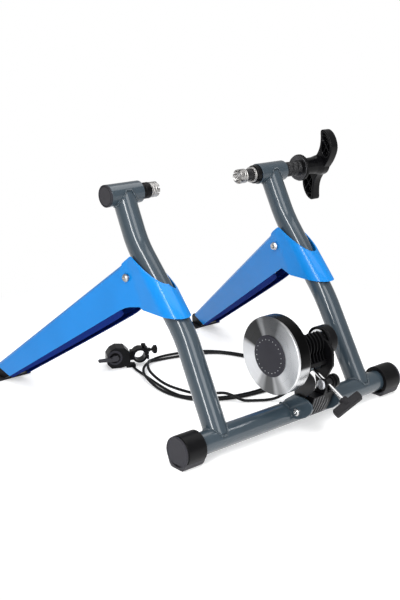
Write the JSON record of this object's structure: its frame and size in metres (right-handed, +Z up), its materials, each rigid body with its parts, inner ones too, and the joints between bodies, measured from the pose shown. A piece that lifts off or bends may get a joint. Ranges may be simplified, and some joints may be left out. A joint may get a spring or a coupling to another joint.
{
  "type": "bike trainer",
  "caption": "Folding bike trainer: a tubular stand clamps a rear axle while a tilting roller unit with a flywheel presses on the tyre; a cabled lever sets the load.",
  "frame": {"origin": "on the floor under the middle of the whole trainer's box", "axes": "+X along the cross tube from the plain side to the handle side, +Y from the resistance unit towards the folding legs' feet, +Z up"},
  "size_m": [0.6516, 0.7004, 0.485],
  "materials": {
    "slate_paint": "gloss slate blue-grey paint",
    "blue_paint": "gloss blue paint",
    "black_plastic": "satin black moulding",
    "black_rubber": "matt black rubber",
    "grey_plastic": "dark grey moulding",
    "light_plastic": "light grey moulding",
    "bright_steel": "bright plated steel",
    "turned_silver": "turned silver face",
    "zinc_plate": "zinc plated steel",
    "black_metal": "black coated metal",
    "cable_black": "black cable jacket"
  },
  "bodies": {
    "frame": {"cross_tube": "slate_paint", "left_upright": "slate_paint", "right_upright": "slate_paint", "left_sleeve": "slate_paint", "right_sleeve": "slate_paint", "unit_bracket": "slate_paint", "tension_arm": "black_plastic", "left_end_cap": "black_plastic", "left_cap_disc": "grey_plastic", "left_bushing": "black_plastic", "left_cup": "bright_steel", "right_bushing": "black_plastic", "right_steel_ring": "bright_steel", "right_thread_insert": "black_metal", "hinge_bolt": "bright_steel", "hinge_nut": "bright_steel", "left_leg_bolt": "bright_steel", "right_leg_bolt": "bright_steel", "left_leg_nut": "bright_steel", "right_leg_nut": "bright_steel", "round_boss": "black_plastic", "trunnion_screw": "bright_steel", "shifter_body": "black_plastic", "shifter_ring": "light_plastic", "shifter_clamp": "black_plastic", "shift_cable": "cable_black"},
    "left_foot": {"left_foot_hub": "black_plastic", "left_foot_pad": "black_rubber"},
    "right_foot": {"right_foot_hub": "black_plastic", "right_foot_pad": "black_rubber"},
    "left_folding_leg": {"left_leg": "blue_paint", "left_leg_plug": "black_plastic", "left_leg_pad": "black_rubber"},
    "right_folding_leg": {"right_leg": "blue_paint", "right_leg_plug": "black_plastic", "right_leg_pad": "black_rubber"},
    "clamp": {"right_cup": "bright_steel", "clamp_rod": "black_metal"},
    "clamp_handle": {"clamp_screw": "black_metal", "handle": "black_plastic"},
    "lock_slide": {"lock_washer": "bright_steel"},
    "lock_nut": {"lock_ring": "black_plastic"},
    "unit": {"unit_housing": "black_plastic", "unit_plate": "black_metal", "near_bearing": "bright_steel", "far_bearing": "bright_steel", "drum_shell": "black_plastic", "cable_gland": "black_plastic"},
    "spinning": {"roller_shaft": "bright_steel", "flywheel_body": "black_metal", "flywheel_face": "turned_silver", "hub_cap": "grey_plastic", "brake_rotor": "bright_steel"},
    "magnet": {"magnet_carrier": "black_metal"},
    "barrel": {"cross_barrel": "zinc_plate"},
    "tension_screw": {"tension_rod": "bright_steel", "tension_knob": "black_plastic"},
    "trunnion": {"trunnion_block": "black_metal"},
    "lever": {"shifter_lever": "grey_plastic"},
    "bar_screw": {"thumb_screw": "black_plastic"}
  },
  "joints": [
    {"name": "left_leg_fold", "type": "hinge", "parent": "frame", "child": "left_folding_leg", "pos_m": [-0.19571, -0.01892, 0.2724], "axis": [-1, 0, 0], "range_deg": [0, 56]},
    {"name": "right_leg_fold", "type": "hinge", "parent": "frame", "child": "right_folding_leg", "pos_m": [0.16729, -0.01892, 0.2724], "axis": [-1, 0, 0], "range_deg": [0, 56]},
    {"name": "left_foot_level", "type": "hinge", "parent": "frame", "child": "left_foot", "pos_m": [-0.26471, -0.22782, 0.0295], "axis": [1, 0, 0], "range_deg": [-12, 12]},
    {"name": "right_foot_level", "type": "hinge", "parent": "frame", "child": "right_foot", "pos_m": [0.23629, -0.22782, 0.0295], "axis": [1, 0, 0], "range_deg": [-12, 12]},
    {"name": "clamp_travel", "type": "slide", "parent": "frame", "child": "clamp", "axis": [-1, 0, 0], "range_m": [0, 0.03]},
    {"name": "clamp_turn", "type": "hinge", "parent": "clamp", "child": "clamp_handle", "pos_m": [0.28579, 0.02918, 0.411], "axis": [-1, 0, 0], "range_deg": [0, 1350]},
    {"name": "lock_travel", "type": "slide", "parent": "clamp_handle", "child": "lock_slide", "axis": [-1, 0, 0], "range_m": [0, 0.013]},
    {"name": "lock_turn", "type": "hinge", "parent": "lock_slide", "child": "lock_nut", "pos_m": [0.25379, 0.02918, 0.411], "axis": [-1, 0, 0], "range_deg": [0, 585]},
    {"name": "unit_tilt", "type": "hinge", "parent": "frame", "child": "unit", "pos_m": [-0.01421, -0.25982, 0.043], "axis": [-1, 0, 0], "range_deg": [0, 12]},
    {"name": "flywheel_spin", "type": "hinge", "parent": "unit", "child": "spinning", "pos_m": [-0.01421, -0.23982, 0.154], "axis": [1, 0, 0], "continuous": true},
    {"name": "magnet_shift", "type": "slide", "parent": "unit", "child": "magnet", "axis": [-1, 0, 0], "range_m": [0, 0.005]},
    {"name": "barrel_swivel", "type": "hinge", "parent": "unit", "child": "barrel", "pos_m": [0.00929, -0.24782, 0.113], "axis": [1, 0, 0], "range_deg": [-0.2, 1.3]},
    {"name": "tension_knob_turn", "type": "hinge", "parent": "barrel", "child": "tension_screw", "pos_m": [0.00929, -0.24782, 0.113], "axis": [0, 0.8896, 0.4568], "range_deg": [0, 2130]},
    {"name": "trunnion_swing", "type": "hinge", "parent": "frame", "child": "trunnion", "pos_m": [0.00929, -0.28482, 0.094], "axis": [-1, 0, 0], "range_deg": [0, 11]},
    {"name": "shifter_lever_turn", "type": "hinge", "parent": "frame", "child": "lever", "pos_m": [-0.07834, 0.23381, 0.025], "axis": [0.454, 0.891, 0], "range_deg": [0, 60]},
    {"name": "bar_screw_turn", "type": "hinge", "parent": "frame", "child": "bar_screw", "pos_m": [-0.00884, 0.1984, 0.031], "axis": [0.891, -0.454, 0], "range_deg": [0, 720]}
  ],
  "couplings": [
    {"joint": "clamp_travel", "follows": "clamp_turn", "m_per_rad": 0.0012732},
    {"joint": "lock_travel", "follows": "lock_turn", "m_per_rad": 0.0012732},
    {"joint": "unit_tilt", "follows": "tension_knob_turn", "ratio": 0.0056312},
    {"joint": "trunnion_swing", "follows": "tension_knob_turn", "ratio": 0.0051173},
    {"joint": "barrel_swivel", "follows": "tension_knob_turn", "ratio": 0.00051384},
    {"joint": "magnet_shift", "follows": "shifter_lever_turn", "m_per_rad": 0.0047}
  ]
}
